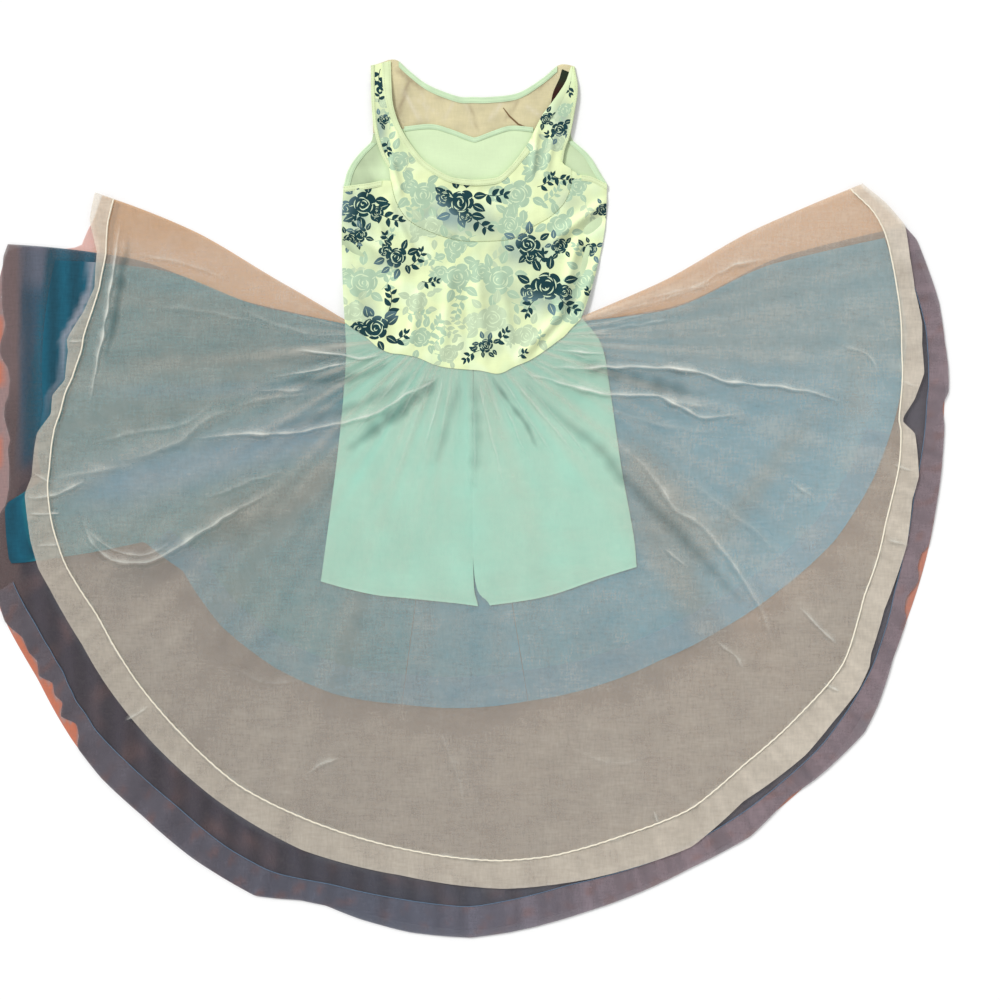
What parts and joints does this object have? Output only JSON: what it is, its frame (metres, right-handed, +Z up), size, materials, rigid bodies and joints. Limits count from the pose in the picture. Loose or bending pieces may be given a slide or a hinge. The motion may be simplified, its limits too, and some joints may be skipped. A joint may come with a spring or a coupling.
{
  "type": "dance competition dress",
  "caption": "Sleeveless dance dress laid flat, with a floral stretch bodice, mesh back yoke, mint shorts and a wide skirt of sheer layers under a pale overskirt.",
  "frame": {"origin": "bottom centre of the laid dress's box, on the surface it lies on", "axes": "+X to the viewer's right across the skirt, +Y from the hem towards the neck, +Z up off the surface"},
  "size_m": [1.1992, 1.097, 0.0139],
  "materials": {
    "ivory_organza": "sheer organza with a soft sheen",
    "blue_organza": "sheer organza with a soft sheen",
    "navy_organza": "sheer organza with a soft sheen",
    "coral_organza": "sheer organza with a soft sheen",
    "mint_knit": "matt stretch knit",
    "floral_knit": "matt stretch knit with a floral print",
    "mint_lining": "smooth stretch lining",
    "nude_mesh": "fine stretch mesh",
    "binding_knit": "matt turned and stitched binding"
  },
  "bodies": {
    "root": {"coral_underskirt": "coral_organza", "navy_skirt": "navy_organza", "navy_hem_band": "navy_organza", "blue_skirt_left_gore": "blue_organza", "blue_skirt_centre_gore": "blue_organza", "blue_skirt_right_gore": "blue_organza", "blue_hem_band": "blue_organza", "ivory_overskirt": "ivory_organza", "ivory_hem_band": "ivory_organza", "shorts_back_left_leg": "mint_knit", "shorts_front_left_leg": "mint_knit", "shorts_back_right_leg": "mint_knit", "shorts_front_right_leg": "mint_knit", "back_panel": "floral_knit", "back_lining": "mint_lining", "back_mesh_yoke": "nude_mesh", "back_neck_binding": "mint_lining", "sweetheart_binding": "mint_lining", "left_back_armhole_binding": "mint_lining", "right_back_armhole_binding": "mint_lining", "front_bust_panel": "floral_knit", "front_lower_panel": "floral_knit", "front_neck_binding": "binding_knit", "right_strap_turned_edge": "floral_knit", "left_front_armhole_binding": "binding_knit", "right_front_armhole_binding": "binding_knit", "left_underarm_binding": "binding_knit", "right_underarm_binding": "binding_knit"}
  },
  "joints": []
}
